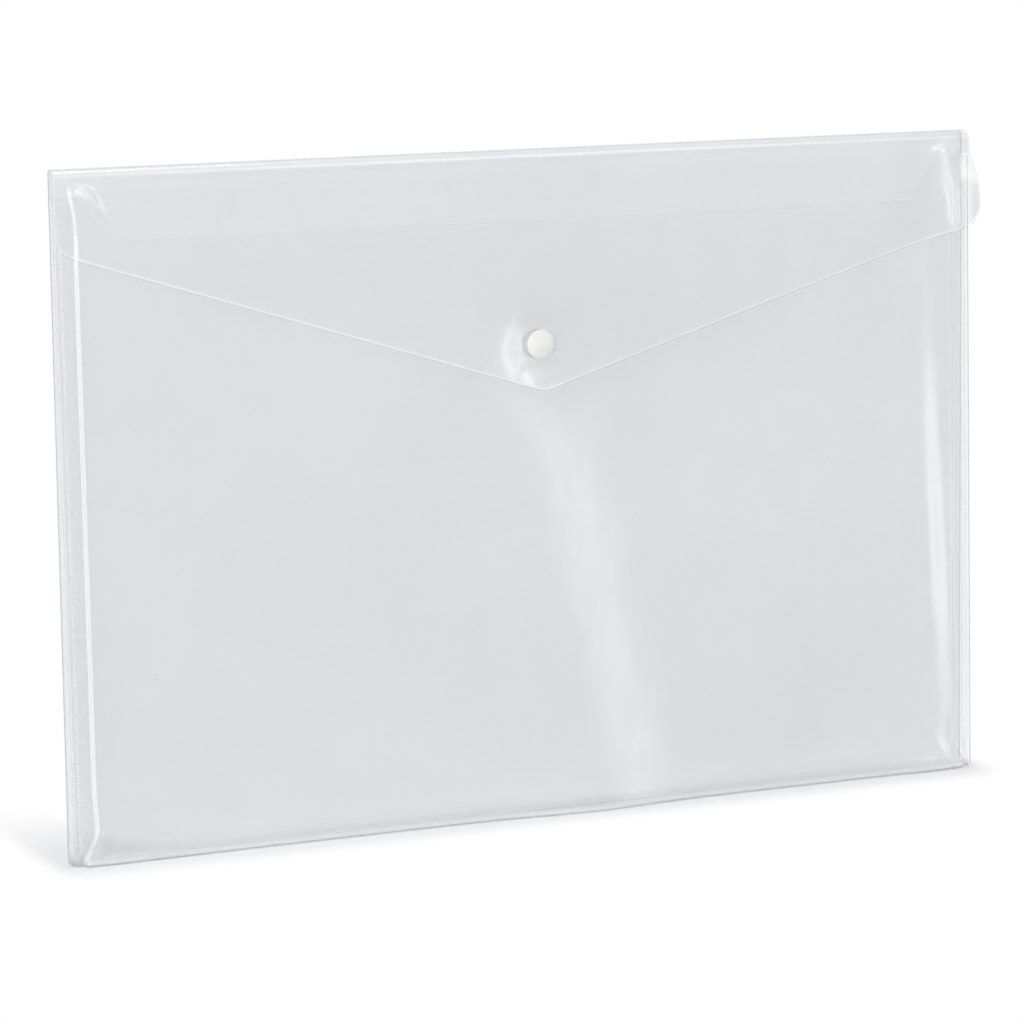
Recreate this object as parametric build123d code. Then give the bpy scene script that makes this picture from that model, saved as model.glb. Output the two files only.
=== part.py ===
"""A clear document wallet: a wedge-shaped pocket of folded film with welded sides, closed by a
V flap that hinges on two creases along the top and is held by a press stud.

The wallet stands on its base, upright, with its front towards -Y. The origin is under the middle
of its outer box. Lengths are millimetres, angles are degrees."""

import os
from math import acos, atan2, cos, degrees, hypot, pi, radians, sin, tan

from build123d import *

# Film and pocket
film = 0.3
pocket_width = 340.0
pocket_height = 230.0
base_depth = 8.0
weld_top_depth = 4.6
weld_top_drop = 9.0

# Base strip, with a narrow slanted crease along its front and rear edges
base_height = 2.0
base_crease = 0.6

# Front leaf: a flat margin at each side, a step out to the face, and a cut-away mouth
margin_width = 8.0
step_run = 2.0
face_raise = 0.6
mouth_drop = 24.0
shoulder_top_inset = 10.0
shoulder_foot_inset = 24.0
shoulder_radius = 6.0

# Side gussets and the ribbed weld bands on the margins
flange_width = 7.0
weld_inset = 2.0
weld_width = 4.5
weld_end_gap = 2.0
weld_thickness = 0.15
rib_pitch = 1.5
rib_width = 0.8
rib_height = 0.15

# Top creases: each has its axis halfway round a bend
spine_depth = 5.4
top_bend = 2.2
crease_turn = 45.0
crease_setback = 0.6

# Flap
flap_side_drop = 30.0
flap_corner_radius = 9.0
flap_tip_drop = 82.0
flap_tip_radius = 12.0
flap_bend_rise = 16.0
flap_bend_radius = 60.0

# Press stud
snap_drop = 66.0
snap_gap = 0.2
prong_diameter = 2.0
prong_clearance = 0.3
cap_diameter = 10.0
cap_edge = 0.8
cap_dome = 0.6
cap_rim_radius = 0.35
socket_diameter = 9.0
socket_height = 2.8
socket_floor = 0.7
socket_bore = 5.4
lip_bore = 5.0
lip_height = 0.4
cap_rivet_diameter = 3.2
cap_rivet_height = 0.4
stud_diameter = 9.0
stud_base = 0.7
neck_diameter = 3.8
ball_diameter = 4.2
head_height = 1.4
neck_height = 0.5
counterbore_diameter = 3.0
counterbore_depth = 0.5
back_rivet_diameter = 2.7
back_rivet_height = 0.4
back_diameter = 10.0
back_edge = 0.6
back_dome = 0.4

# Cuts reach this far past what they cut
overrun = 1.0

# Heights and leans that follow from the sizes above
half_width = pocket_width / 2
weld_top = pocket_height - weld_top_drop
lean = degrees(atan2(base_depth - weld_top_depth, weld_top - base_height))
quarter_turn = degrees(pi / 2)


def margin_depth(height):
    """How far the front leaf's margin stands in front of the wallet's rear face at a height."""
    return base_depth - (height - base_height) * tan(radians(lean))


# The press stud stands square on the leaning front leaf: local Y runs up the leaf and local Z outwards
snap_height = pocket_height - snap_drop
snap_plane = Plane(
    origin=(0, -margin_depth(snap_height) - face_raise, snap_height),
    x_dir=(1, 0, 0),
    z_dir=(0, -cos(radians(lean)), sin(radians(lean))),
)
leaf_thickness = film * cos(radians(lean))
socket_rest = stud_base + snap_gap
flap_rest = socket_rest + socket_height
cap_rest = flap_rest + film
outer_depth = -(snap_plane.from_local_coords((0, 0, cap_rest + cap_edge + cap_dome)).Y)
prong_hole = prong_diameter + prong_clearance


def placed(shape):
    """Moves a shape from its place in front of the rear face to the wallet's own frame."""
    return Pos(0, outer_depth / 2, 0) * shape


def film_strip(path):
    """Film along a centreline in the YZ plane, with rounded edges, across the wallet's whole width."""
    outline = make_face(offset(Wire(path.edges()), film / 2, side=Side.BOTH))
    return extrude(Plane.YZ * outline, half_width, both=True)


def between_heights(section):
    """A straight-sided solid between a section at the base strip's rim and the same at the weld's top."""
    ends = [Pos(0, 0, height) * section(height) for height in (base_height, weld_top)]
    return loft(ends, ruled=True)


def turned_piece(*outline):
    """A round piece of the press stud, turned from half of its outline as (radius, height)."""
    return turned_face(make_face(Polyline(*outline, close=True)))


def turned_face(half):
    """A face of the press stud's half section, turned about the stud's axis."""
    return snap_plane * revolve(Plane.XZ * half, Axis.Z)


def snap_hole(diameter):
    """A cutter through the film along the press stud's axis."""
    return snap_plane * extrude(Circle(diameter / 2), flap_rest + overrun, both=True)


def front_line(height):
    """Half of the front leaf's outer line at a height, from the middle to the right side edge."""
    margin = -margin_depth(height)
    face = margin - face_raise
    step_start = half_width - margin_width
    return [(step_start - step_run, face), (step_start, margin), (half_width, margin)]


def across(points):
    """The points given for the right half, after the same points mirrored for the left half."""
    return [(-x, y) for x, y in reversed(points)] + points


def front_section(height):
    """The front leaf cut across at a height."""
    outer = across(front_line(height))
    inner = [(x, y + film) for x, y in reversed(outer)]
    return make_face(Polyline(*outer, *inner, close=True))


def gusset_section(side):
    """A function that gives a side wall and its flange, cut across at a height. The side is -1 or 1."""

    def section(height):
        rear = -film
        front = film - margin_depth(height)
        outline = [
            (half_width, rear),
            (half_width, front),
            (half_width - flange_width, front),
            (half_width - flange_width, front + film),
            (half_width - film, front + film),
            (half_width - film, rear),
        ]
        return make_face(Polyline(*[(side * x, y) for x, y in outline], close=True))

    return section


def make_base_panel():
    """The base strip as a shallow tray, whose rim carries the leaves and the gussets."""
    depth = base_depth + face_raise
    outline = Pos(0, -depth / 2) * Rectangle(pocket_width, depth)
    block = extrude(outline, base_height)
    creases = block.faces().sort_by(Axis.Z)[0].edges().filter_by(Axis.X)
    block = chamfer(creases, base_crease)
    return offset(block, -film, openings=block.faces().sort_by(Axis.Z)[-1])


def make_front_panel():
    """The front leaf, with its mouth cut away between two shoulders and the stud's hole."""
    leaf = between_heights(front_section)
    mouth_height = pocket_height - mouth_drop
    top = pocket_height + overrun
    shoulder_top = half_width - shoulder_top_inset
    shoulder_foot = half_width - shoulder_foot_inset
    mouth = make_face(
        Polyline(
            *across([(shoulder_foot, mouth_height), (shoulder_top, weld_top), (half_width, weld_top)]),
            (half_width, top),
            (-half_width, top),
            close=True,
        )
    )
    bends = mouth.vertices().filter_by(lambda v: abs(v.X) < half_width)
    mouth = fillet(bends, shoulder_radius)
    reach = base_depth + face_raise + overrun
    return leaf - extrude(Plane.XZ * mouth, reach, both=True) - snap_hole(prong_hole)


def make_side_weld(side):
    """A weld band on a front margin: a thin strip with ribs across it, from the welding bar's teeth."""
    run = (weld_top - base_height) / cos(radians(lean)) - 2 * weld_end_gap
    ribs = int((run - rib_width) // rib_pitch) + 1
    crest = weld_thickness + rib_height
    outline = [(0, 0), (weld_thickness, 0)]
    first = (run - (ribs - 1) * rib_pitch - rib_width) / 2
    for rib in range(ribs):
        start = first + rib * rib_pitch
        end = start + rib_width
        outline += [(weld_thickness, start), (crest, start), (crest, end), (weld_thickness, end)]
    outline += [(weld_thickness, run), (0, run)]
    outer_edge = half_width - weld_inset
    seat = Plane(
        origin=(side * (outer_edge - weld_width / 2), -margin_depth(base_height), base_height),
        x_dir=(0, -cos(radians(lean)), sin(radians(lean))),
        z_dir=(-1, 0, 0),
    )
    profile = Pos(0, weld_end_gap) * make_face(Polyline(*outline, close=True))
    return extrude(seat * profile, weld_width / 2, both=True)


# Top bends: centres of the rear and front ones, and the radius of the film's middle
bend_height = pocket_height - top_bend
middle_radius = top_bend - film / 2
rear_bend = (-top_bend, bend_height)
front_bend = (top_bend - spine_depth, bend_height)
setback_turn = degrees(crease_setback / middle_radius)
front_crease_angle = 2 * quarter_turn - crease_turn


def make_back_panel():
    """The rear leaf, straight up from the base strip and round to the rear crease."""
    middle = -film / 2
    leaf = Line((middle, base_height - overrun), (middle, bend_height))
    bend = CenterArc(rear_bend, middle_radius, 0, crease_turn)
    return split(film_strip(leaf + bend), Plane.XY.offset(base_height), keep=Keep.TOP)


def make_top_spine():
    """The strip over the top, from just past the rear crease to the front crease."""
    rear_start = crease_turn + setback_turn
    rear_arc = CenterArc(rear_bend, middle_radius, rear_start, quarter_turn - rear_start)
    front_arc = CenterArc(front_bend, middle_radius, quarter_turn, front_crease_angle - quarter_turn)
    return film_strip(rear_arc + Line(rear_arc @ 1, front_arc @ 0) + front_arc)


def make_flap_panel():
    """The flap, from just past the front crease down to its V edge, bent where it meets the stud."""
    middle = flap_rest + film / 2
    corner = snap_plane.from_local_coords((0, flap_bend_rise, middle))
    foot = snap_plane.from_local_coords((0, snap_drop - flap_tip_drop - overrun, middle))
    ahead, down = corner.Y - front_bend[0], corner.Z - front_bend[1]
    leave_angle = degrees(atan2(down, ahead) - acos(middle_radius / hypot(ahead, down))) % (4 * quarter_turn)
    start_angle = front_crease_angle + setback_turn
    arc = CenterArc(front_bend, middle_radius, start_angle, leave_angle - start_angle)
    slope = FilletPolyline(arc @ 1, (corner.Y, corner.Z), (foot.Y, foot.Z), radius=flap_bend_radius)
    side_height = pocket_height - flap_side_drop
    tip_height = pocket_height - flap_tip_drop
    top = pocket_height + overrun
    outline = make_face(
        Polyline(
            (0, tip_height),
            (half_width, side_height),
            (half_width, top),
            (-half_width, top),
            (-half_width, side_height),
            close=True,
        )
    )
    outline = fillet(outline.vertices().group_by(Axis.Y)[1], flap_corner_radius)
    outline = fillet(outline.vertices().sort_by(Axis.Y)[0], flap_tip_radius)
    blank = extrude(Plane.XZ * outline, outer_depth + overrun, both=True)
    return film_strip(arc + slope) & blank - snap_hole(prong_hole)


def make_snap_cap():
    """The domed cap on the flap, with the prong that goes through the flap and the socket."""
    radius = cap_diameter / 2
    rim = cap_rest + cap_edge
    top = rim + cap_dome
    dome_radius = (radius**2 + cap_dome**2) / (2 * cap_dome)
    dome_start = degrees(acos(radius / dome_radius))
    dome = CenterArc((0, top - dome_radius), dome_radius, dome_start, quarter_turn - dome_start)
    rivet = flap_rest - socket_floor
    edge = Polyline(
        dome @ 1,
        (0, rivet - cap_rivet_height),
        (cap_rivet_diameter / 2, rivet - cap_rivet_height),
        (cap_rivet_diameter / 2, rivet),
        (prong_diameter / 2, rivet),
        (prong_diameter / 2, cap_rest),
        (radius, cap_rest),
        dome @ 0,
    )
    half = make_face(edge + dome)
    rim_corner = half.vertices().sort_by_distance((radius, rim))[0]
    return turned_face(fillet(rim_corner, cap_rim_radius))


def make_snap_socket():
    """The socket behind the flap, with a lip that closes round the stud's ball."""
    top = flap_rest
    floor = top - socket_floor
    lip = socket_rest + lip_height
    return turned_piece(
        (prong_hole / 2, top),
        (socket_diameter / 2, top),
        (socket_diameter / 2, socket_rest),
        (lip_bore / 2, socket_rest),
        (lip_bore / 2, lip),
        (socket_bore / 2, lip),
        (socket_bore / 2, floor),
        (prong_hole / 2, floor),
    )


def make_snap_stud():
    """The stud on the front leaf: a base disc, a neck and a ball, bored for the backing cap's prong."""
    top = stud_base + head_height
    return turned_piece(
        (prong_hole / 2, 0),
        (stud_diameter / 2, 0),
        (stud_diameter / 2, stud_base),
        (neck_diameter / 2, stud_base),
        (ball_diameter / 2, stud_base + neck_height),
        (ball_diameter / 2, top),
        (counterbore_diameter / 2, top),
        (counterbore_diameter / 2, top - counterbore_depth),
        (prong_hole / 2, top - counterbore_depth),
    )


def make_snap_stud_back():
    """The backing cap inside the pocket, with the prong that holds the stud to the front leaf."""
    seat = -leaf_thickness
    rivet = stud_base + head_height - counterbore_depth
    return turned_piece(
        (0, seat - back_edge - back_dome),
        (back_diameter / 2, seat - back_edge),
        (back_diameter / 2, seat),
        (prong_diameter / 2, seat),
        (prong_diameter / 2, rivet),
        (back_rivet_diameter / 2, rivet),
        (back_rivet_diameter / 2, rivet + back_rivet_height),
        (0, rivet + back_rivet_height),
    )


nodes = {
    "back_panel": make_back_panel(),
    "base_panel": make_base_panel(),
    "front_panel": make_front_panel(),
    "left_gusset": between_heights(gusset_section(-1)),
    "right_gusset": between_heights(gusset_section(1)),
    "left_side_weld": make_side_weld(-1),
    "right_side_weld": make_side_weld(1),
    "top_spine": make_top_spine(),
    "flap_panel": make_flap_panel(),
    "snap_cap": make_snap_cap(),
    "snap_socket": make_snap_socket(),
    "snap_stud": make_snap_stud(),
    "snap_stud_back": make_snap_stud_back(),
}

os.makedirs("parts", exist_ok=True)
for name, shape in nodes.items():
    export_step(placed(shape), f"parts/{name}.step")
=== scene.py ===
"""A clear document wallet, dressed: folded glossy film, welded sides and a white press stud.

Lengths are metres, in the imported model's frame: the wallet stands on z = 0 with its front towards -Y."""

from math import atan2, cos, exp, hypot, pi, radians, sin, sqrt

import bmesh
import bpy
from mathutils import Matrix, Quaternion, Vector


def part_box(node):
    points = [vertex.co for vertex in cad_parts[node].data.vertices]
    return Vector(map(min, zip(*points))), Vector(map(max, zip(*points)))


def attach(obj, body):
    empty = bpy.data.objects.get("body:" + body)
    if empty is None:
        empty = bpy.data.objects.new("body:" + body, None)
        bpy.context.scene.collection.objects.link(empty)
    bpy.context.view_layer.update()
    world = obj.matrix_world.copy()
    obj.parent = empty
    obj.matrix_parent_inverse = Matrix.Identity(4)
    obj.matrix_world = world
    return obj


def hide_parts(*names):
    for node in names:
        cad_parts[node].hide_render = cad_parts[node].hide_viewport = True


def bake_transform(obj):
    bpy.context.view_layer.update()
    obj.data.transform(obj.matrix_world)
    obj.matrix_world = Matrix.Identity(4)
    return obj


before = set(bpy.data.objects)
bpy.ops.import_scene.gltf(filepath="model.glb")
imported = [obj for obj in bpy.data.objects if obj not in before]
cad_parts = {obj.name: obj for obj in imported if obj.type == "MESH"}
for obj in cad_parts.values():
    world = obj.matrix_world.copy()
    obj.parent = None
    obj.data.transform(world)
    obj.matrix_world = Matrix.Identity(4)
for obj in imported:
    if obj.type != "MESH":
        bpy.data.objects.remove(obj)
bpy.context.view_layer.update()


# Pocket film. The pocket's front leaf, base and rear leaf are one strip of clear glossy film, die-cut,
# creased along the base and bent over at the top, where it runs on to the middle of the spine.
# The face stands proud of two flat margins, and its upper edge is cut away between two shoulders.
film = 0.0003
skin = film / 2
half_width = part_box("base_panel")[1].x
rear_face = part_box("back_panel")[1].y
top_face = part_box("top_spine")[1].z
leaf_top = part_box("front_panel")[1].z
leaf_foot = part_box("front_panel")[0].z
base_depth = 0.008
leaf_top_depth = 0.0046
base_bend = 0.0012
rear_bend = 0.0013
spine_depth = 0.0054
front_roll = 0.004
margin_width = 0.0063
step_run = 0.0015
corner_flare = 0.0040
face_raise = 0.0011
snap_height = 0.164
stud_raise = 0.0006
stud_hold_reach = 0.030
foot_flare = 0.0008
foot_flare_height = 0.0042
foot_bulges = ((-0.150, 0.025), (0.152, 0.012))
mouth_drop = 0.024
shoulder_foot = 0.0265
shoulder_head = 0.0085
edge_band = 0.0005
# The tones below paint light into the film's colour: white for painted highlights and whitened folds, dark
# for painted shade.
mouth_highlight_tone = 0.26
shoulder_highlight_share = 0.2
painted_highlight_edge_tone = 0.30
painted_shade_edge_tone = -0.60
fold_white_and_highlight_tone = 0.18
right_fold_highlight_share = 1.6
foot_highlight_tone = 0.16
foot_highlight_height = 0.0045
base_highlight_tone = 0.42
base_highlight_height = 0.0018
spine_shade_tone = -0.30
back_side_shade_tone = -0.70
edge_rows, face_rows, foot_rows = 1, 46, 15


def ease(share):
    """A smooth step from 0 to 1."""
    share = min(max(share, 0.0), 1.0)
    return share * share * (3 - 2 * share)


def swell(distance, width):
    """A soft bump, 1 in its middle, that dies away over a width."""
    return exp(-((distance / width) ** 2))


def soft_spot(across, height, middle, size):
    """A soft oval bump with its middle and its size each given across and up."""
    return swell(across - middle[0], size[0]) * swell(height - middle[1], size[1])


def slope_share(step):
    """How steep a smooth step is: 1 halfway up, 0 at its foot and at its head."""
    return 4 * step * (1 - step)


def between(share, stops):
    """A value between stops, which share the way from 0 to 1 by their counts of grid lines."""
    lines = share * sum(count for count, _, _ in stops)
    for count, first, last in stops:
        if lines <= count:
            return first + (last - first) * lines / count
        lines -= count
    return stops[-1][2]


def margin_front(height):
    """The outer face of the front leaf's margins at a height."""
    lean = (base_depth - leaf_top_depth) / (leaf_top - leaf_foot)
    return rear_face - base_depth + (height - leaf_foot) * lean


def leaf_step(across, height):
    """How far up the side fold a point is: 0 on the flat margin, 1 on the raised face."""
    flare_reach = 0.0075
    waist, waist_reach, waist_share = 0.012, 0.006, 0.3
    flare = swell(height, flare_reach) - waist_share * swell(height - waist, waist_reach)
    return ease((half_width - margin_width + corner_flare * flare - abs(across)) / step_run)


def stud_hold(across, height, reach):
    """How firmly the press stud holds the film flat: 1 at the stud, dying away over a reach."""
    return swell(hypot(across, height - snap_height), reach)


def slack_waves(across, height):
    """The leaf's fullness, with one shallow hollow and one shallow wave on the left."""
    fullest, hollow_depth, wave_rise = 0.0011, 0.0006, 0.0005
    up = min(max(height / leaf_top, 0), 1)
    fullness = fullest * (1 - (across / half_width) ** 2) * sin(pi * up) ** 0.8
    hollow = hollow_depth * soft_spot(across, height, middle=(-0.075, 0.100), size=(0.040, 0.050))
    wave = wave_rise * soft_spot(across, height, middle=(-0.125, 0.060), size=(0.018, 0.050))
    return (1 - stud_hold(across, height, stud_hold_reach)) * (fullness - hollow + wave)


def long_buckle(across, height):
    """The long slanting buckle of the slack leaf, from the flap's tip down to the base crease."""
    rise, width, slant = 0.0039, 0.026, 0.230
    middle_across, middle_height = -0.0090, 0.118
    head, head_run = 0.185, 0.05
    foot_share, foot_run = 0.9, 0.02
    hold_reach = 0.018
    line = middle_across + slant * (middle_height - height)
    buckle = rise * swell(across - line, width) * (1 - stud_hold(across, height, hold_reach))
    buckle *= foot_share + (1 - foot_share) * ease(height / foot_run)
    return buckle * ease((head - height) / head_run)


def right_droop(across, height):
    """How far the face falls back beside its right-hand fold, where it catches a long streak of light."""
    depth, run = 0.0009, 0.008
    middle, length = 0.088, 0.058
    inset, inset_height, slant = 0.0187, 0.103, 0.05
    start = half_width - inset + slant * (inset_height - height)
    return depth * ease((across - start) / run) * swell(height - middle, length)


def foot_fullness(across):
    """How full the front leaf's foot is: 1, and up to 2 at a bulge near each corner."""
    return 1 + sum(swell(across - middle, width) for middle, width in foot_bulges)


def corner_pleats(across, height):
    """Fine pleats that fan out round the face's two bottom corners."""
    depth, folds = 0.00030, 9
    ring, ring_width = 0.009, 0.006
    from_corner = Vector((half_width - margin_width - abs(across), height))
    fan = atan2(from_corner.y, from_corner.x)
    return depth * sin(folds * fan) * swell(from_corner.length - ring, ring_width)


def face_front(across, height):
    """The outer face of the front leaf, with its fold, its fullness and the soft waves of loose film."""
    sink_start, sink_run, sink_share = 0.195, 0.022, 0.8
    rise = face_raise + (stud_raise - face_raise) * stud_hold(across, height, stud_hold_reach)
    rise *= 1 - sink_share * ease((height - sink_start) / sink_run)
    rise += slack_waves(across, height) + long_buckle(across, height) - right_droop(across, height)
    rise += foot_flare * foot_fullness(across) * swell(height, foot_flare_height)
    rise += corner_pleats(across, height)
    return margin_front(height) - leaf_step(across, height) * rise


def mouth_edge(across):
    """The height of the front leaf's upper edge."""
    rise = ease((abs(across) - (half_width - shoulder_foot)) / (shoulder_foot - shoulder_head))
    mouth = top_face - mouth_drop
    return mouth + (leaf_top - mouth) * rise


def on_side_edge(across):
    """Whether a point lies on a sheet's cut side edge."""
    return half_width - abs(across) < edge_band / 2


def leaf_point(across, way):
    """The front leaf, from its mouth down to the base crease. Its rows are closer at its foot."""
    foot_top = 0.012
    edge = mouth_edge(across)
    inside = edge - edge_band
    stops = [(edge_rows, edge, inside), (face_rows, inside, foot_top), (foot_rows, foot_top, base_bend)]
    height = between(way, stops)
    step = leaf_step(across, height)
    # The side folds carry a white line, both crease whitening and a painted highlight, stronger on the
    # right.
    fold = fold_white_and_highlight_tone if across < 0 else right_fold_highlight_share * fold_white_and_highlight_tone
    # The foot and the start of the base crease carry a painted highlight.
    foot = foot_highlight_tone * foot_fullness(across) * swell(height - base_bend, foot_highlight_height)
    foot = max(foot, base_highlight_tone * swell(height - base_bend, base_highlight_height))
    tone = max(fold * slope_share(step), foot * step)
    # The mouth's cut edge carries a painted highlight, fainter up the shoulders.
    if way == 0:
        up_shoulder = (edge - top_face + mouth_drop) / (leaf_top - top_face + mouth_drop)
        tone = mouth_highlight_tone * (1 - (1 - shoulder_highlight_share) * up_shoulder)
    # The side edges carry painted light: a painted highlight on the left, painted shade on the right.
    if on_side_edge(across):
        tone = painted_highlight_edge_tone if across < 0 else painted_shade_edge_tone
    return Vector((across, face_front(across, height) + skin, height)), tone


def front_crease_point(across, way):
    """The rounded crease from the front leaf to the base, with a painted highlight where it starts."""
    highlight_span = 0.6
    turn = pi / 2 * way
    radius = base_bend - skin
    front = face_front(across, base_bend) + skin
    tone = base_highlight_tone * leaf_step(across, base_bend) * (1 - ease(way / highlight_span))
    return Vector((across, front + radius * (1 - cos(turn)), base_bend - radius * sin(turn))), tone


def base_point(across, way):
    """The flat base that the wallet stands on."""
    front = face_front(across, base_bend) + base_bend
    rear = rear_face - base_bend
    return Vector((across, front + (rear - front) * way, skin)), 0.0


def rear_crease_point(across, way):
    """The rounded crease from the base to the rear leaf."""
    turn = pi / 2 * way
    radius = base_bend - skin
    height = base_bend - radius * cos(turn)
    return Vector((across, rear_face - base_bend + radius * sin(turn), height)), 0.0


def back_point(across, way):
    """The rear leaf, a little slack."""
    deepest, wave_share = 0.0007, 0.4
    waves_across, waves_up = 21, 15
    top = top_face - rear_bend
    height = base_bend + (top - base_bend) * way
    slack = deepest * (1 - (across / half_width) ** 2) * sin(pi * way)
    slack *= 1 - wave_share + wave_share * sin(waves_across * across + waves_up * height)
    # The rear leaf's side edges carry painted shade.
    tone = back_side_shade_tone if on_side_edge(across) else 0.0
    return Vector((across, rear_face - skin - slack, height)), tone


def top_bend_point(across, way):
    """The bend from the rear leaf to the spine."""
    turn = pi / 2 * way
    radius = rear_bend - skin
    height = top_face - rear_bend + radius * sin(turn)
    # Painted shade darkens the bend more and more towards the spine.
    return Vector((across, rear_face - rear_bend + radius * cos(turn), height)), spine_shade_tone * way


def spine_point(across, way):
    """The rear half of the spine."""
    run = spine_depth - front_roll - rear_bend
    # The spine carries painted shade, a dark line along the top.
    return Vector((across, rear_face - rear_bend - run * way, top_face - skin)), spine_shade_tone


pocket_legs = [
    (edge_rows + face_rows + foot_rows, leaf_point),
    (8, front_crease_point),
    (4, base_point),
    (8, rear_crease_point),
    (46, back_point),
    (12, top_bend_point),
    (2, spine_point),
]
pocket_rows = sum(count for count, _ in pocket_legs)
pocket_columns = [
    (1, -half_width, -half_width + edge_band),
    (5, -half_width + edge_band, -half_width + margin_width - step_run),
    (16, -half_width + margin_width - step_run, -half_width + margin_width + 2 * step_run),
    (14, -half_width + margin_width + 2 * step_run, -half_width + shoulder_foot),
    (36, -half_width + shoulder_foot, 0),
]
pocket_columns += [(count, -last, -first) for count, first, last in reversed(pocket_columns)]


def pocket_place(share_across, share_along):
    """Where a point of the pocket film lies, and the painted tone of its cut edge or crease."""
    across = between(share_across, pocket_columns)
    line = round(share_along * pocket_rows)
    for count, point_at in pocket_legs:
        if line <= count:
            return point_at(across, line / count)
        line -= count


def lay_skin(name, columns, rows, place):
    """A grid whose points go where place says, each with its tone: white above 0, dark below."""
    mesh = bpy.data.meshes.new(name)
    blank = bmesh.new()
    blank.loops.layers.uv.new("film")
    bmesh.ops.create_grid(blank, x_segments=columns, y_segments=rows, size=0.5, calc_uvs=True)
    # Each point's tone is mostly painted light, highlights above 0 and shade below; on the welds it is
    # their whitening.
    tone = blank.verts.layers.float.new("whitening_and_painted_light")
    for point in blank.verts:
        point.co, point[tone] = place(point.co.x + 0.5, point.co.y + 0.5)
    bmesh.ops.recalc_face_normals(blank, faces=blank.faces)
    blank.to_mesh(mesh)
    blank.free()
    mesh.shade_smooth()
    piece = bpy.data.objects.new(name, mesh)
    bpy.context.scene.collection.objects.link(piece)
    return piece


def give_thickness(piece, materials):
    """Makes a skin a sheet of film. The last of its materials is that of the cut edges."""
    for material in materials:
        piece.data.materials.append(material)
    thickness = piece.modifiers.new("thickness", "SOLIDIFY")
    thickness.thickness = film
    thickness.offset = 0
    thickness.use_even_offset = True
    thickness.material_offset_rim = len(materials) - 1


def math_node(tree, operation, first, second, third=0.0):
    """A Math node on values that are each a number or a socket."""
    node = tree.nodes.new("ShaderNodeMath")
    node.operation = operation
    for socket, value in zip(node.inputs, (first, second, third)):
        if isinstance(value, (int, float)):
            socket.default_value = value
        else:
            tree.links.new(value, socket)
    return node.outputs[0]


def noise_node(tree, scale, detail):
    """Noise on the piece's own coordinates."""
    where = tree.nodes.new("ShaderNodeTexCoord")
    noise = tree.nodes.new("ShaderNodeTexNoise")
    noise.inputs["Scale"].default_value = scale
    noise.inputs["Detail"].default_value = detail
    tree.links.new(where.outputs["Object"], noise.inputs["Vector"])
    return noise.outputs["Fac"]


def colour_mix(tree, share, first, second):
    """A Mix node on colours that are each written out or a socket."""
    node = tree.nodes.new("ShaderNodeMix")
    node.data_type = "RGBA"
    tree.links.new(share, node.inputs[0])
    for socket, value in zip((node.inputs[6], node.inputs[7]), (first, second)):
        if isinstance(value, tuple):
            socket.default_value = value
        else:
            tree.links.new(value, socket)
    return node.outputs[2]


def shader_mix(tree, share, first, second):
    """A Mix Shader node."""
    node = tree.nodes.new("ShaderNodeMixShader")
    tree.links.new(share, node.inputs[0])
    tree.links.new(first, node.inputs[1])
    tree.links.new(second, node.inputs[2])
    return node.outputs[0]


def bare_material(name):
    """A new material with nothing in it but its output."""
    material = bpy.data.materials.new(name)
    material.use_nodes = True
    tree = material.node_tree
    tree.nodes.clear()
    return material, tree, tree.nodes.new("ShaderNodeOutputMaterial").inputs["Surface"]


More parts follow.
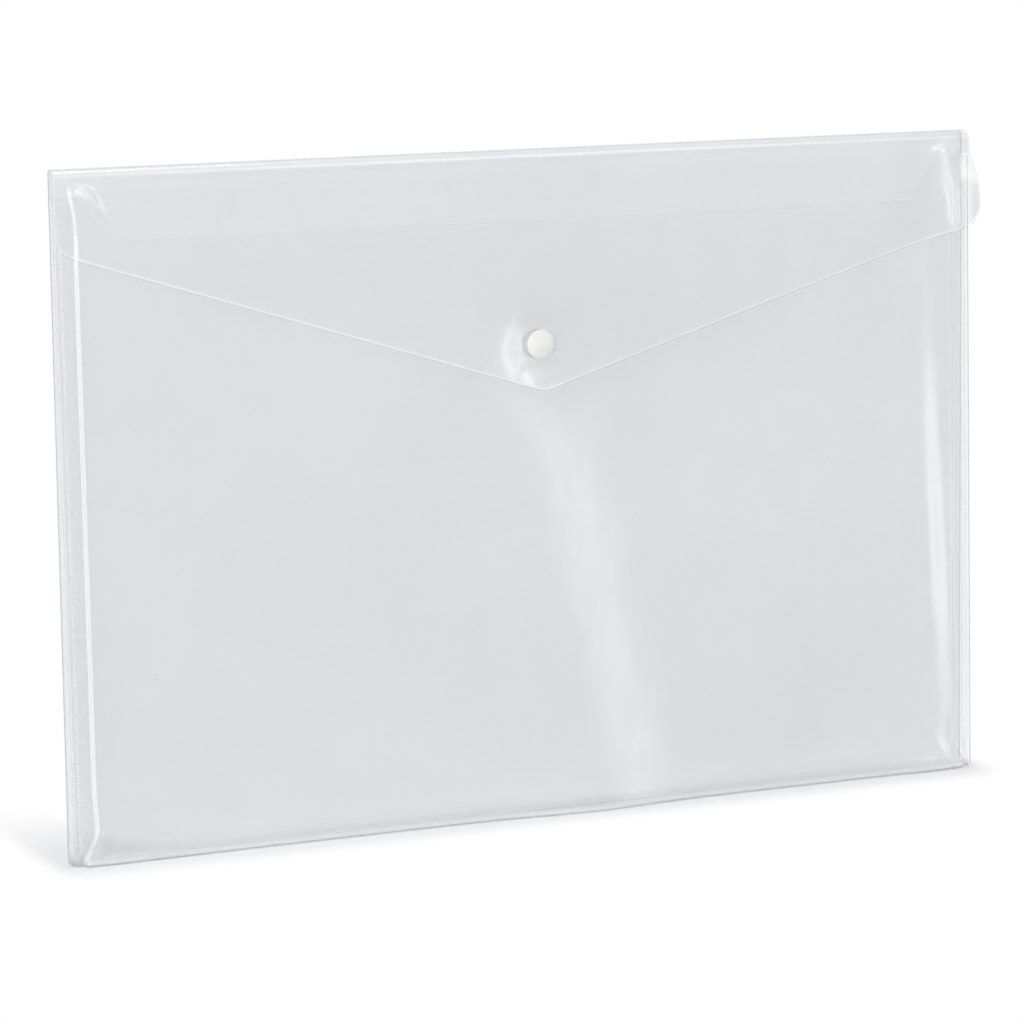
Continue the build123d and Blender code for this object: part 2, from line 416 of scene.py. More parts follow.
def clear_film(name, cool, plain, veil_share, ripple, shine=0.04):
    """Clear glossy film: it passes most light, veils the rest, and mirrors more at a slant."""
    painted_shade_colour, crease_white_and_highlight_colour = (0.30, 0.32, 0.35, 1), (0.97, 0.98, 0.99, 1)
    steepest, longest_path = 1.06, 2.2
    material, tree, surface = bare_material(name)
    slant = tree.nodes.new("ShaderNodeLayerWeight")
    slant.inputs["Blend"].default_value = 0.5
    facing = slant.outputs["Facing"]

    surface_veil = 1 - sqrt(1 - veil_share)
    cloud = noise_node(tree, scale=16, detail=3)
    veil = math_node(tree, "MULTIPLY_ADD", cloud, 0.3 * surface_veil, 0.85 * surface_veil)
    path = math_node(tree, "DIVIDE", steepest, math_node(tree, "SUBTRACT", steepest, facing))
    path = math_node(tree, "MINIMUM", path, longest_path)
    passed = math_node(tree, "POWER", math_node(tree, "SUBTRACT", 1.0, veil), path)
    # The points' tones paint light into the veil: white for whitened folds and painted highlights, dark
    # for painted shade.
    edge = tree.nodes.new("ShaderNodeAttribute")
    edge.attribute_name = "whitening_and_painted_light"
    strength = math_node(tree, "ABSOLUTE", edge.outputs["Fac"], 0.0)
    hidden = math_node(tree, "MAXIMUM", math_node(tree, "SUBTRACT", 1.0, passed), strength)

    drift = tree.nodes.new("ShaderNodeMapRange")
    drift.inputs["From Min"].default_value = 0.38
    drift.inputs["From Max"].default_value = 0.62
    tree.links.new(noise_node(tree, scale=5, detail=1), drift.inputs["Value"])
    tint = colour_mix(tree, drift.outputs[0], cool, plain)
    white_side = math_node(tree, "GREATER_THAN", edge.outputs["Fac"], 0.0)
    painted_tone_colour = colour_mix(tree, white_side, painted_shade_colour, crease_white_and_highlight_colour)
    painted_tone_share = math_node(tree, "MULTIPLY", strength, 2.0)
    painted_tone_share.node.use_clamp = True
    veil_shader = tree.nodes.new("ShaderNodeBsdfDiffuse")
    tree.links.new(colour_mix(tree, painted_tone_share, tint, painted_tone_colour), veil_shader.inputs["Color"])
    clear_shader = tree.nodes.new("ShaderNodeBsdfTransparent")
    body = shader_mix(tree, hidden, clear_shader.outputs[0], veil_shader.outputs[0])

    bump = tree.nodes.new("ShaderNodeBump")
    bump.inputs["Strength"].default_value = ripple
    bump.inputs["Distance"].default_value = 0.004
    tree.links.new(noise_node(tree, scale=55, detail=2), bump.inputs["Height"])
    gloss = tree.nodes.new("ShaderNodeBsdfGlossy")
    gloss.inputs["Color"].default_value = (1, 1, 1, 1)
    scuff = noise_node(tree, scale=900, detail=4)
    tree.links.new(math_node(tree, "MULTIPLY_ADD", scuff, 0.06, 0.21), gloss.inputs["Roughness"])
    tree.links.new(bump.outputs["Normal"], gloss.inputs["Normal"])
    mirrored = math_node(tree, "MULTIPLY_ADD", math_node(tree, "POWER", facing, 5.0), 1 - shine, shine)
    tree.links.new(shader_mix(tree, mirrored, body, gloss.outputs[0]), surface)
    return material


def cut_edge(name):
    """The film's own thickness at a cut, as a painted highlight: a thread of light, whiter where the edge
    is marked.
    """
    material, tree, surface = bare_material(name)
    edge = tree.nodes.new("ShaderNodeAttribute")
    edge.attribute_name = "whitening_and_painted_light"
    nick = math_node(tree, "MULTIPLY_ADD", noise_node(tree, scale=1200, detail=2), 0.10, 0.06)
    share = math_node(tree, "ADD", nick, math_node(tree, "MAXIMUM", edge.outputs["Fac"], 0.0))
    share.node.use_clamp = True
    thread = tree.nodes.new("ShaderNodeBsdfDiffuse")
    thread.inputs["Color"].default_value = (0.90, 0.92, 0.94, 1)
    clear = tree.nodes.new("ShaderNodeBsdfTransparent")
    tree.links.new(shader_mix(tree, share, clear.outputs[0], thread.outputs[0]), surface)
    return material


leaf_cool, leaf_plain = (0.80, 0.86, 0.90, 1), (0.86, 0.88, 0.91, 1)
# The rear film is a darker copy of the same film: painted shade, for the rear leaf in the wallet's shadow.
back_shade_cool, back_shade_plain = (0.42, 0.49, 0.53, 1), (0.49, 0.51, 0.54, 1)
leaf_clear = clear_film("clear_leaf_film", leaf_cool, leaf_plain, veil_share=0.09, ripple=0.10)
back_shade_clear = clear_film("clear_back_film_painted_shade", back_shade_cool, back_shade_plain, veil_share=0.36, ripple=0.10)
film_edge = cut_edge("cut_film_edge")
pocket = lay_skin("pocket_film", sum(count for count, _, _ in pocket_columns), pocket_rows, pocket_place)
# The rear leaf and the flat base take the darker rear film, as painted shade.
for patch in pocket.data.polygons:
    in_rear_leaf = patch.center.y > rear_face - rear_bend
    in_flat_base = patch.center.z < 1.05 * skin
    patch.material_index = int(in_rear_leaf or in_flat_base)
give_thickness(pocket, [leaf_clear, back_shade_clear, film_edge])
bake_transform(pocket)
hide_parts("front_panel", "base_panel", "back_panel")


# Side gussets. Each is a narrow strip of the same film, folded once: a side wall that bows inwards a
# little, and a flange behind the front leaf's margin, to which the leaf is welded.
gusset_foot = film
gusset_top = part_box("left_gusset")[1].z
flange_width = 0.0062
gusset_bend = 0.0009
wall_bow = 0.0006
wall_bow_start = 0.02
wall_highlight_tone = 0.24
wall_highlight_middle, wall_highlight_width = 0.45, 0.30
wall_columns, fold_columns, flange_columns = 8, 6, 6
gusset_columns = wall_columns + fold_columns + flange_columns
gusset_rows = 44


def gusset_place(side):
    """Where the points of one gusset lie. The side is -1 or 1."""
    wall = half_width - skin
    rear = rear_face - film

    def place(share_across, share_along):
        column = round(share_across * gusset_columns)
        height = gusset_foot + (gusset_top - gusset_foot) * share_along
        front = margin_front(max(height, leaf_foot)) + film + skin
        if height < base_bend:
            front += base_bend - sqrt(base_bend**2 - (base_bend - height) ** 2)
        radius = min(gusset_bend, (rear - front) / 2)
        if column <= wall_columns:
            depth = column / wall_columns
            bow = wall_bow * sin(pi * depth) * ease(height / wall_bow_start)
            # A band down the side wall carries a painted highlight.
            tone = wall_highlight_tone * swell(depth - wall_highlight_middle, wall_highlight_width)
            return Vector((side * (wall - bow), rear + (front + radius - rear) * depth, height)), tone
        column -= wall_columns
        if column <= fold_columns:
            turn = pi / 2 * column / fold_columns
            inset = radius * (1 - cos(turn))
            return Vector((side * (wall - inset), front + radius * (1 - sin(turn)), height)), 0.0
        column -= fold_columns
        inset = radius + (flange_width - radius) * column / flange_columns
        return Vector((side * (wall - inset), front, height)), 0.0

    return place


gusset_cool, gusset_plain = (0.90, 0.92, 0.94, 1), (0.94, 0.95, 0.96, 1)
gusset_clear = clear_film(
    "clear_gusset_film", gusset_cool, gusset_plain, veil_share=0.04, ripple=0.01, shine=0.005
)
for side, side_name in ((-1, "left"), (1, "right")):
    gusset = lay_skin(f"{side_name}_gusset_film", gusset_columns, gusset_rows, gusset_place(side))
    give_thickness(gusset, [gusset_clear, film_edge])
    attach(gusset, "pocket")
    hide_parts(f"{side_name}_gusset")


# Side welds. The welding bar's teeth press a band of short ribs with round ends into each margin,
# where the film of the leaf and the flange is melted together and turns whitish.
weld_inset = 0.0014
weld_width = 0.0042
weld_gap = 0.003
rib_pitch = 0.0012
rib_rise = 0.00007
weld_floor = 0.00005
rib_tone = 0.07
outer_line_tone, outer_rib_tone = 0.10, 0.18
outer_line_middle, outer_line_width = 0.10, 0.10
rib_end_roundness, tooth_roundness = 0.5, 0.7
rib_rows = 8
weld_columns = 12
weld_length = leaf_top - leaf_foot - 2 * weld_gap
rib_count = round(weld_length / rib_pitch)


def weld_place(side):
    """Where the points of one weld band lie, as a skin whose rim is sunk in the leaf."""

    def place(share_across, share_along):
        height = leaf_foot + weld_gap + weld_length * share_along
        across = side * (half_width - weld_inset - weld_width * share_across)
        ends = sin(pi * share_across) ** rib_end_roundness
        tooth = max(0.0, cos(2 * pi * rib_count * (share_along - 0.5 / rib_count))) ** tooth_roundness
        out = weld_floor + rib_rise * tooth * ends
        if share_across in (0.0, 1.0) or share_along in (0.0, 1.0):
            out = -skin
        outer_line = swell(share_across - outer_line_middle, outer_line_width)
        tone = rib_tone * tooth * ends + (outer_line_tone + outer_rib_tone * tooth) * outer_line
        return Vector((across, face_front(across, height) - out, height)), tone

    return place


def pressed_weld(name):
    """Melted film: whiter than the sheet, with bright rib ends and a satin gloss."""
    material, tree, surface = bare_material(name)
    edge = tree.nodes.new("ShaderNodeAttribute")
    edge.attribute_name = "whitening_and_painted_light"
    grain = math_node(tree, "MULTIPLY_ADD", noise_node(tree, scale=700, detail=3), 0.12, 0.04)
    white = math_node(tree, "ADD", grain, edge.outputs["Fac"])
    white.node.use_clamp = True
    melt = tree.nodes.new("ShaderNodeBsdfDiffuse")
    melt.inputs["Color"].default_value = (0.93, 0.94, 0.96, 1)
    clear = tree.nodes.new("ShaderNodeBsdfTransparent")
    body = shader_mix(tree, white, clear.outputs[0], melt.outputs[0])
    gloss = tree.nodes.new("ShaderNodeBsdfGlossy")
    gloss.inputs["Roughness"].default_value = 0.32
    slant = tree.nodes.new("ShaderNodeFresnel")
    slant.inputs["IOR"].default_value = 1.25
    tree.links.new(shader_mix(tree, slant.outputs[0], body, gloss.outputs[0]), surface)
    return material


weld_melt = pressed_weld("pressed_weld")
for side, side_name in ((-1, "left"), (1, "right")):
    weld = lay_skin(f"{side_name}_weld_band", weld_columns, rib_count * rib_rows, weld_place(side))
    weld.data.materials.append(weld_melt)
    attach(weld, "pocket")
    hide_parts(f"{side_name}_side_weld")


# Flap film. The blank runs on from the middle of the spine over a rolled front edge and down as a
# full-width flap with a V edge and rounded corners. Its right-hand corner curls away from the pocket.
flap_side_drop = 0.030
flap_tip_drop = 0.082
flap_corner = 0.009
flap_tip = 0.012
flap_skew = 0.0147
flap_top = top_face - front_roll
flap_slope_foot = 0.180
flap_inner = 0.0037
flap_side_inner = 0.0009
flap_inner_reach = 0.075
flap_fold_rise = 0.0008
left_pleat_rise = 0.0018
right_pleat_rise = 0.0013
# The tones below paint light into the flap: white for painted highlights and whitened folds, dark for
# painted shade.
flap_fold_highlight_share = 1.4
left_pleat_highlight_tone = 0.24
right_pleat_highlight_tone = 0.36
stud_reflection_tone = 0.38
curl_shade_tone = -0.25
spine_shade_fade = 2.5
flap_side_shade_tone = -0.08
v_edge_shade_and_highlight_tones = (-0.30, 0.36, 0.30, 0.0)
pleat_zone = -half_width + 0.045
stud_zone = -0.030
flap_columns = [
    (1, -half_width, -half_width + edge_band),
    (14, -half_width + edge_band, -half_width + flap_corner),
    (28, -half_width + flap_corner, pleat_zone),
    (26, pleat_zone, stud_zone),
    (20, stud_zone, 0),
]
flap_columns += [(count, -last, -first) for count, first, last in reversed(flap_columns)]
roll_rows, fall_rows = 20, 60
flap_rows = roll_rows + fall_rows


def flap_edge(across):
    """The height of the flap's lower edge: a V with a round tip and round corners, a little askew."""
    side = abs(across)
    slope = (flap_tip_drop - flap_side_drop) / half_width
    lean = sqrt(1 + slope**2)
    tip_reach = flap_tip * slope / lean
    height = top_face - flap_tip_drop + slope * side
    if side < tip_reach:
        height = top_face - flap_tip_drop + flap_tip * lean - sqrt(flap_tip**2 - side**2)
    corner_start = half_width - flap_corner * (1 - slope / lean)
    if side > corner_start:
        middle = top_face - flap_tip_drop + slope * (half_width - flap_corner) + flap_corner * lean
        height = middle - sqrt(max(flap_corner**2 - (side - half_width + flap_corner) ** 2, 0))
    return height - flap_skew * across


def flap_fold(across, fall):
    """How far up its side fold a point of the flap is. The fold runs out to the top corners."""
    below_roll, below_reach, over_roll = 0.0022, 0.009, 0.0041
    run_out = below_roll * swell(max(fall, 0), below_reach) + over_roll * ease(-fall / front_roll)
    return ease((half_width - margin_width + run_out - abs(across)) / step_run)


def left_pleat(across, fall):
    """How near a point is to the short pleat that fans out below the flap's left-hand top corner."""
    start, slant, width = 0.0075, 0.73, 0.0025
    head, head_length = 0.0045, 0.0040
    tail, tail_length, tail_share = 0.014, 0.008, 0.3
    line = -half_width + start + slant * fall
    along = swell(fall - head, head_length) + tail_share * swell(fall - tail, tail_length)
    return along * swell(across - line, width)


def right_pleat(across, fall):
    """How near a point is to the pleat that runs down from the flap's right-hand top corner."""
    start, bend, slant, width = 0.1590, 0.012, 0.15, 0.0024
    foot, foot_run = 0.036, 0.010
    line = start + slant * max(fall - bend, 0)
    return swell(across - line, width) * ease((foot - fall) / foot_run)


def stud_reflection_mark(across, height):
    """How near a point is to the mark below the stud, on its left, where a reflection is painted white."""
    start, start_height, slant, width = -0.0112, 0.1596, 0.51, 0.0040
    middle, length = 0.1530, 0.0080
    line = start + slant * (start_height - height)
    return swell(across - line, width) * swell(height - middle, length)


def flap_painted_light(across, fall):
    """Painted light on the flap: whitened, highlit folds and pleats, a reflection by the stud, a shaded
    curl.
    """
    curl_start, curl_run = 0.1640, 0.0040
    pleat_head, pleat_head_run = -0.003, 0.004
    if across < 0:
        # On the left: the fold's white line, crease whitening and painted highlight; painted highlights on
        # the pleat and beside the stud.
        fold = flap_fold_highlight_share * fold_white_and_highlight_tone * slope_share(flap_fold(across, fall))
        pleat = left_pleat_highlight_tone * left_pleat(across, fall)
        return max(fold, pleat, stud_reflection_tone * stud_reflection_mark(across, flap_top - fall))
    # On the right: painted shade on the curled corner, else a painted highlight on the pleat.
    curl = curl_shade_tone * ease((across - curl_start) / curl_run)
    pleat = right_pleat_highlight_tone * right_pleat(across, fall) * ease((fall - pleat_head) / pleat_head_run)
    return curl or pleat


def corner_curl(across, fall):
    """How far the flap's right-hand corner curls out from the pocket."""
    reach, start, run, tightness = 0.0085, 0.138, 0.038, 1.3
    fall_run = 0.018
    return reach * ease((across - start) / run) ** tightness * ease(fall / fall_run)


def stud_dimple(across, height):
    """How far the flap swells out in a ring round the stud, which holds it down."""
    rise, flat, slope, reach = 0.0023, 0.006, 0.008, 0.024
    from_stud = hypot(across, height - snap_height)
    return rise * (1 - swell(max(from_stud - flat, 0), slope)) * swell(from_stud, reach)


def tip_pull(across, height):
    """How far the flap lifts in the short fold that the stud pulls up near its tip, on the left."""
    rise, start, run = 0.0020, -0.0100, 0.0045
    spot = soft_spot(across, height, middle=(-0.0045, 0.1495), size=(0.007, 0.0055))
    return rise * ease((across - start) / run) * spot


def flap_front(across, height):
    """The middle of the flap film: it leaves the roll, rests on the press stud and follows the leaf."""
    upper_lift, upper_lift_start, upper_lift_run = 0.0007, 0.185, 0.03
    fold_run, pleat_run = 0.004, 0.003
    fall = flap_top - height
    down = ease(fall / (flap_top - flap_slope_foot))
    roll = rear_face - spine_depth + skin
    lie = flap_side_inner + (flap_inner - flap_side_inner) * swell(across, flap_inner_reach)
    lie += upper_lift * ease((height - upper_lift_start) / upper_lift_run)
    rest = face_front(across, min(height, leaf_top)) - lie - skin
    fold = flap_fold_rise * (1 - down) * flap_fold(across, fall) * ease(fall / fold_run)
    pleats = left_pleat_rise * left_pleat(across, fall) + right_pleat_rise * right_pleat(across, fall)
    out = fold + pleats * ease(fall / pleat_run) + corner_curl(across, fall)
    out += stud_dimple(across, height) + tip_pull(across, height)
    return roll + (rest - roll) * down - out


def flap_place(share_across, share_along):
    """Where a point of the flap film lies, and the painted tone of its cut edge or crease."""
    across = between(share_across, flap_columns)
    line = round(share_along * flap_rows)
    # The flap's side edges carry a little painted shade.
    side_shade = flap_side_shade_tone if on_side_edge(across) else 0.0
    if line <= roll_rows:
        turn = pi / 2 * line / roll_rows
        radius = front_roll - skin
        depth = rear_face - spine_depth + front_roll - radius * sin(turn)
        # The roll's top rows carry painted shade along the spine.
        top_shade = spine_shade_tone * ease(1 - spine_shade_fade * line / roll_rows)
        tone = side_shade or top_shade or flap_painted_light(across, -radius * cos(turn))
        return Vector((across, depth, flap_top + radius * cos(turn))), tone
    edge = flap_edge(across)
    marked = len(v_edge_shade_and_highlight_tones) - 1
    upper = edge + marked * edge_band
    way = (line - roll_rows) / fall_rows
    height = between(way, [(fall_rows - marked, flap_top, upper), (marked, upper, edge)])
    # The V edge carries a painted shadow line at its rim and a painted highlight just inside it.
    edge_mark = v_edge_shade_and_highlight_tones[min(flap_rows - line, marked)]
    tone = edge_mark or side_shade or flap_painted_light(across, flap_top - height)
    return Vector((across, flap_front(across, height), height)), tone


flap_cool, flap_plain = (0.86, 0.88, 0.93, 1), (0.90, 0.905, 0.95, 1)
flap = lay_skin("flap_film", sum(count for count, _, _ in flap_columns), flap_rows, flap_place)
flap_clear = clear_film("clear_flap_film", flap_cool, flap_plain, veil_share=0.25, ripple=0.10)
give_thickness(flap, [flap_clear, film_edge])
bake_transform(flap)
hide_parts("flap_panel", "top_spine")


# Press stud. Four turned pieces of warm white moulded plastic: a domed cap and a socket riveted to the
# flap, and a ball stud and a backing cap riveted to the front leaf. Each rivet is a prong with a spread
# end. Heights are along the stud's axis, from the front leaf's outer face.
cap_radius = 0.0050
cap_dome = 0.0010
cap_dome_radius = (cap_radius**2 + cap_dome**2) / (2 * cap_dome)
cap_dome_shares = (0, 0.25, 0.5, 0.75, 0.92, 1)
cap_seat = flap_inner + film
cap_rim = cap_seat + 0.0005
socket_radius = 0.0045
socket_mouth = 0.0009
socket_lip = 0.0004
socket_lip_radius = 0.0025
socket_bore_radius = 0.0027
socket_floor = flap_inner - 0.0007
prong_radius = 0.0010
prong_hole_radius = 0.00115
cap_rivet_radius = 0.0016
cap_rivet_end = socket_floor - 0.0004
stud_base = 0.0007
stud_radius = 0.0045
stud_neck_radius = 0.0019
stud_ball_radius = 0.0021
stud_ball_foot = 0.0012
stud_top = 0.0021
counterbore_radius = 0.0015
counterbore_floor = 0.0016
back_rivet_radius = 0.00135
back_rivet_end = 0.0020
back_radius = 0.0050
back_rim = -film - 0.0006
back_crown = back_rim - 0.0004
stud_lean = (base_depth - leaf_top_depth) / (leaf_top - leaf_foot)
stud_axis = Vector((0, -1, stud_lean)).normalized()
stud_seat = Vector((0, face_front(0, snap_height), snap_height))


def turned_piece(name, outline, closed, rounding):
    """A round piece of the stud, spun from half its outline as (radius, height), with eased rims."""
    sharp = radians(40)
    mesh = bpy.data.meshes.new(name)
    body = bmesh.new()
    points = []
    for radius, rise in outline:
        points.append(body.verts.new(stud_seat + Vector((radius, 0, 0)) + stud_axis * rise))
    for first, second in zip(points, points[1:] + points[:1] if closed else points[1:]):
        body.edges.new((first, second))
    bmesh.ops.spin(
        body,
        geom=body.verts[:] + body.edges[:],
        cent=stud_seat,
        axis=stud_axis,
        angle=2 * pi,
        steps=64,
        use_merge=True,
        use_duplicate=False,
    )
    bmesh.ops.remove_doubles(body, verts=body.verts, dist=1e-6)
    bmesh.ops.recalc_face_normals(body, faces=body.faces)
    body.normal_update()
    bmesh.ops.bevel(
        body,
        geom=[edge for edge in body.edges if edge.calc_face_angle(0) > sharp],
        offset=rounding,
        affect="EDGES",
        segments=4,
        profile=0.5,
        material=-1,
        clamp_overlap=True,
    )
    body.to_mesh(mesh)
    body.free()
    mesh.shade_smooth()
    mesh.set_sharp_from_angle(angle=sharp)
    piece = bpy.data.objects.new(name, mesh)
    bpy.context.scene.collection.objects.link(piece)
    return piece


def warm_plastic(name):
    """Moulded white plastic with a soft gloss and the faintest orange peel."""
    material = bpy.data.materials.new(name)
    material.use_nodes = True
    tree = material.node_tree
    shader = tree.nodes["Principled BSDF"]
    mottle = noise_node(tree, scale=350, detail=4)
    colour = colour_mix(tree, mottle, (0.80, 0.80, 0.775, 1), (0.87, 0.87, 0.85, 1))
    tree.links.new(colour, shader.inputs["Base Color"])
    tree.links.new(math_node(tree, "MULTIPLY_ADD", mottle, 0.14, 0.26), shader.inputs["Roughness"])
    bump = tree.nodes.new("ShaderNodeBump")
    bump.inputs["Strength"].default_value = 0.1
    bump.inputs["Distance"].default_value = 0.0002
    tree.links.new(mottle, bump.inputs["Height"])
    tree.links.new(bump.outputs["Normal"], shader.inputs["Normal"])
    return material


def dome_rise(radius):
    """The height of the cap's domed top at a radius."""
    return cap_rim + cap_dome - cap_dome_radius + sqrt(cap_dome_radius**2 - radius**2)


cap_outline = [(cap_radius * share, dome_rise(cap_radius * share)) for share in cap_dome_shares]
cap_outline += [
    (cap_radius, cap_seat),
    (prong_radius, cap_seat),
    (prong_radius, socket_floor),
    (cap_rivet_radius, socket_floor),
    (cap_rivet_radius, cap_rivet_end),
    (0, cap_rivet_end),
]
socket_outline = [
    (prong_hole_radius, flap_inner),
    (socket_radius, flap_inner),
    (socket_radius, socket_mouth),
    (socket_lip_radius, socket_mouth),
    (socket_lip_radius, socket_mouth + socket_lip),
    (socket_bore_radius, socket_mouth + socket_lip),
    (socket_bore_radius, socket_floor),
    (prong_hole_radius, socket_floor),
]
stud_outline = [
    (prong_hole_radius, 0),
    (stud_radius, 0),
    (stud_radius, stud_base),
    (stud_neck_radius, stud_base),
    (stud_ball_radius, stud_ball_foot),
    (stud_ball_radius, stud_top),
    (counterbore_radius, stud_top),
    (counterbore_radius, counterbore_floor),
    (prong_hole_radius, counterbore_floor),
]
back_outline = [
    (0, back_crown),
    (back_radius, back_rim),
    (back_radius, -film),
    (prong_radius, -film),
    (prong_radius, counterbore_floor),
    (back_rivet_radius, counterbore_floor),
    (back_rivet_radius, back_rivet_end),
    (0, back_rivet_end),
]
stud_plastic = warm_plastic("warm_white_plastic")
for node, body_name, outline, closed, rounding in (
    ("snap_cap", "flap", cap_outline, False, 0.00035),
    ("snap_socket", "flap", socket_outline, True, 0.00012),
    ("snap_stud", "pocket", stud_outline, True, 0.00012),
    ("snap_stud_back", "pocket", back_outline, False, 0.00015),
):
    turned = turned_piece(f"turned_{node}", outline, closed, rounding)
    turned.data.materials.append(stud_plastic)
    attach(turned, body_name)
    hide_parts(node)


# Studio. A white table and backdrop in a dimmer room, with a broad soft box on the left, a far strip
# light on the right, one box high in front and one overhead, and a camera in front on the left.
# The table's shadow fades to white with distance, at a rate of its own on each side of the wallet.
room_light = 0.45
table_reach_across, table_reach_front, table_reach_behind = 0.32, 0.034, 0.30
shadow_fade_start, shadow_fade_end = 0.004, 0.060
shadow_left_rate, shadow_right_rate, shadow_front_rate = 5.0, 3.0, 2.4
shadow_behind_left_rate, shadow_behind_rate = 0.6, 3.0
shadow_left_start = -half_width
shadow_right_start = half_width - 0.008
shadow_behind_left = -half_width + 0.016
shadow_behind_middle = -half_width + 0.050


def seen_share(tree):
    """1 for rays from the eye and through glass, and the ray node itself."""
    ray = tree.nodes.new("ShaderNodeLightPath")
    eye, glass = ray.outputs["Is Camera Ray"], ray.outputs["Is Transmission Ray"]
    return math_node(tree, "MAXIMUM", eye, glass), ray


def white_surround():
    """White to the eye, white behind and dimmer in front in mirrors, and a plain soft light elsewhere."""
    world = bpy.data.worlds.new("white_surround")
    bpy.context.scene.world = world
    world.use_nodes = True
    tree = world.node_tree
    plain = tree.nodes["Background"]
    plain.inputs["Color"].default_value = (0.97, 0.985, 1, 1)
    plain.inputs["Strength"].default_value = room_light
    mirrored = tree.nodes.new("ShaderNodeBackground")
    mirrored.inputs["Color"].default_value = (1, 1, 1, 1)
    where = tree.nodes.new("ShaderNodeTexCoord")
    split = tree.nodes.new("ShaderNodeSeparateXYZ")
    tree.links.new(where.outputs["Generated"], split.inputs[0])
    behind = tree.nodes.new("ShaderNodeMapRange")
    behind.interpolation_type = "SMOOTHSTEP"
    behind.inputs["From Min"].default_value = -0.3
    behind.inputs["From Max"].default_value = 0.4
    behind.inputs["To Min"].default_value = room_light
    behind.inputs["To Max"].default_value = 1
    tree.links.new(split.outputs["Y"], behind.inputs["Value"])
    tree.links.new(behind.outputs[0], mirrored.inputs["Strength"])
    white = tree.nodes.new("ShaderNodeBackground")
    white.inputs["Color"].default_value = (1, 1, 1, 1)
    white.inputs["Strength"].default_value = 1
    seen, ray = seen_share(tree)
    unseen = shader_mix(tree, ray.outputs["Is Glossy Ray"], plain.outputs[0], mirrored.outputs[0])
    whole = shader_mix(tree, seen, unseen, white.outputs[0])
    tree.links.new(whole, tree.nodes["World Output"].inputs["Surface"])


def shadow_distance(tree):
    """How far a point of the table is from the wallet, counted at each side's own rate."""
    where = tree.nodes.new("ShaderNodeTexCoord")
    split = tree.nodes.new("ShaderNodeSeparateXYZ")
    tree.links.new(where.outputs["Object"], split.inputs[0])
    across, deep = split.outputs["X"], split.outputs["Y"]
    left_offset = shadow_left_rate * shadow_left_start
    right_offset = -shadow_right_rate * shadow_right_start
    left = math_node(tree, "MULTIPLY_ADD", across, -shadow_left_rate, left_offset)
    right = math_node(tree, "MULTIPLY_ADD", across, shadow_right_rate, right_offset)
    sideways = math_node(tree, "MAXIMUM", math_node(tree, "MAXIMUM", left, right), 0.0)
    behind_rate = tree.nodes.new("ShaderNodeMapRange")
    behind_rate.inputs["From Min"].default_value = shadow_behind_left
    behind_rate.inputs["From Max"].default_value = shadow_behind_middle
    behind_rate.inputs["To Min"].default_value = shadow_behind_left_rate
    behind_rate.inputs["To Max"].default_value = shadow_behind_rate
    tree.links.new(across, behind_rate.inputs["Value"])
    behind = math_node(tree, "MULTIPLY", deep, behind_rate.outputs[0])
    before = math_node(tree, "MULTIPLY", deep, -shadow_front_rate)
    away = tree.nodes.new("ShaderNodeCombineXYZ")
    tree.links.new(sideways, away.inputs["X"])
    tree.links.new(math_node(tree, "MAXIMUM", behind, before), away.inputs["Y"])
    distance = tree.nodes.new("ShaderNodeVectorMath")
    distance.operation = "LENGTH"
    tree.links.new(away.outputs[0], distance.inputs[0])
    return distance.outputs["Value"]


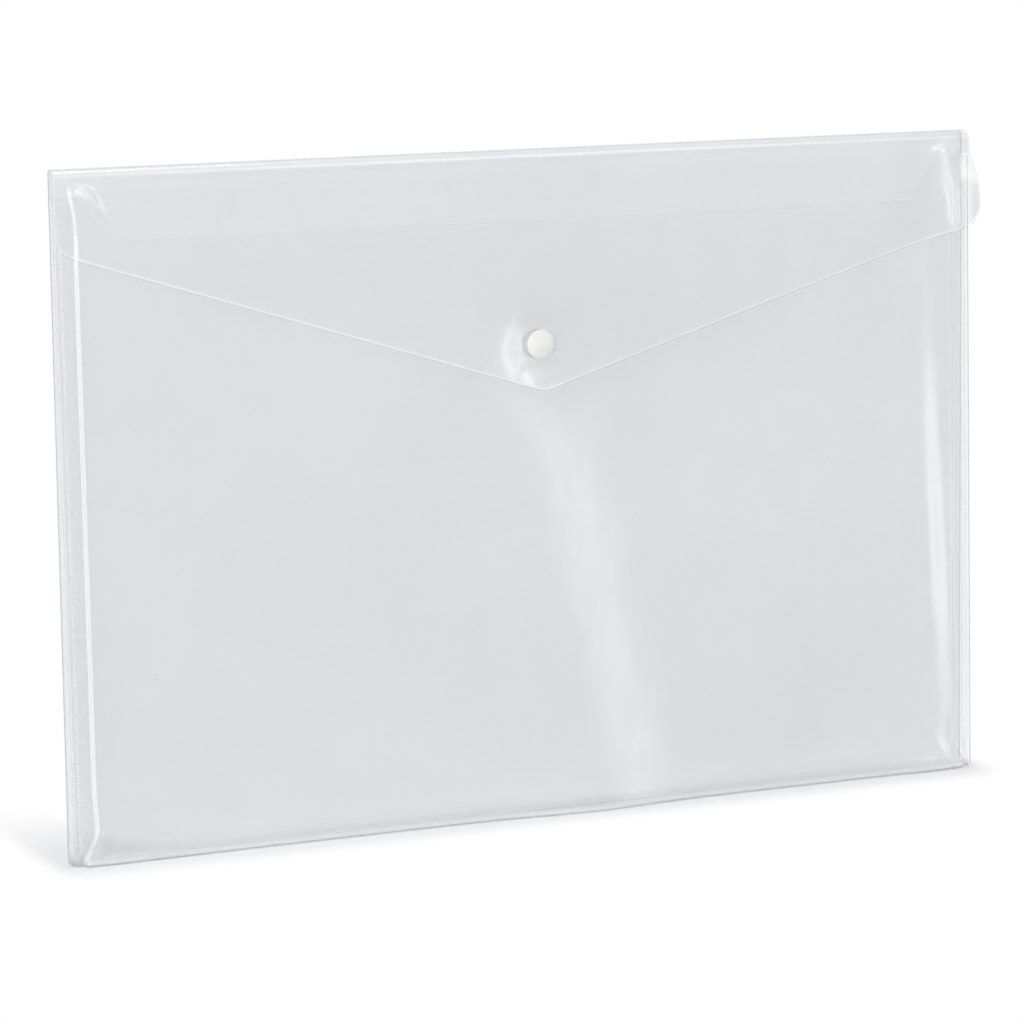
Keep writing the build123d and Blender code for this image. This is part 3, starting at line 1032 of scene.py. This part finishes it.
def white_table():
    """A matt white sheet that keeps the wallet's shadow and turns plain white away from it."""
    mesh = bpy.data.meshes.new("table")
    top = bmesh.new()
    bmesh.ops.create_grid(top, x_segments=8, y_segments=8, size=1)
    for point in top.verts:
        point.co.x *= table_reach_across
        point.co.y *= table_reach_front if point.co.y < 0 else table_reach_behind
    top.to_mesh(mesh)
    top.free()
    table = bpy.data.objects.new("table", mesh)
    bpy.context.scene.collection.objects.link(table)
    material, tree, surface = bare_material("white_table")
    matt = tree.nodes.new("ShaderNodeBsdfDiffuse")
    matt.inputs["Color"].default_value = (0.89, 0.89, 0.89, 1)
    white = tree.nodes.new("ShaderNodeEmission")
    white.inputs["Color"].default_value = (1, 1, 1, 1)
    white.inputs["Strength"].default_value = 1
    fade = tree.nodes.new("ShaderNodeMapRange")
    fade.interpolation_type = "SMOOTHSTEP"
    fade.inputs["From Min"].default_value = shadow_fade_start
    fade.inputs["From Max"].default_value = shadow_fade_end
    fade.inputs["To Min"].default_value = 0
    fade.inputs["To Max"].default_value = 1
    tree.links.new(shadow_distance(tree), fade.inputs["Value"])
    seen, ray = seen_share(tree)
    seen = math_node(tree, "MAXIMUM", seen, ray.outputs["Is Glossy Ray"])
    share = math_node(tree, "MULTIPLY", fade.outputs[0], seen)
    tree.links.new(shader_mix(tree, share, matt.outputs[0], white.outputs[0]), surface)
    table.data.materials.append(material)


def soft_box(name, place, aim, width, height, radiance):
    """A rectangular soft light at a place, aimed at a point, as bright as its radiance."""
    light = bpy.data.lights.new(name, "AREA")
    light.shape = "RECTANGLE"
    light.size = width
    light.size_y = height
    light.energy = radiance * pi * width * height
    lamp = bpy.data.objects.new(name, light)
    lamp.location = place
    lamp.rotation_mode = "QUATERNION"
    lamp.rotation_quaternion = (Vector(aim) - Vector(place)).to_track_quat("-Z", "Y")
    bpy.context.scene.collection.objects.link(lamp)


def photo_camera():
    """The photograph's view, found from the wallet's corners and its stud."""
    lens_over_width = 4221.8 / 1024
    sensor = 36
    turn, tilt, roll = radians(24.05), radians(-8.82), radians(-0.78)
    data = bpy.data.cameras.new("camera")
    data.sensor_width = sensor
    data.lens = sensor * lens_over_width
    data.clip_end = 50
    camera = bpy.data.objects.new("camera", data)
    camera.location = (-0.5911, -1.3087 + rear_face, 0.3279)
    camera.rotation_mode = "QUATERNION"
    forward = Vector((sin(turn) * cos(tilt), cos(turn) * cos(tilt), sin(tilt)))
    camera.rotation_quaternion = forward.to_track_quat("-Z", "Y") @ Quaternion((0, 0, 1), roll)
    bpy.context.scene.collection.objects.link(camera)
    bpy.context.scene.camera = camera


white_surround()
white_table()
soft_box("left_box", (-0.97, -0.70, 0.45), (0, 0, 0.45), width=0.95, height=1.8, radiance=2.5)
soft_box("right_strip", (2.19, -2.05, 0.30), (0, 0, 0.30), width=0.75, height=1.8, radiance=3.2)
soft_box("high_box", (0.55, -0.80, 1.20), (0, 0, 0.2), width=0.6, height=0.6, radiance=2.6)
soft_box("overhead_box", (-0.1, 0.15, 1.35), (-0.1, 0.15, 0), width=0.8, height=0.6, radiance=3.4)
photo_camera()
bpy.context.scene.view_settings.view_transform = "Standard"
bpy.context.scene.cycles.transparent_max_bounces = 48
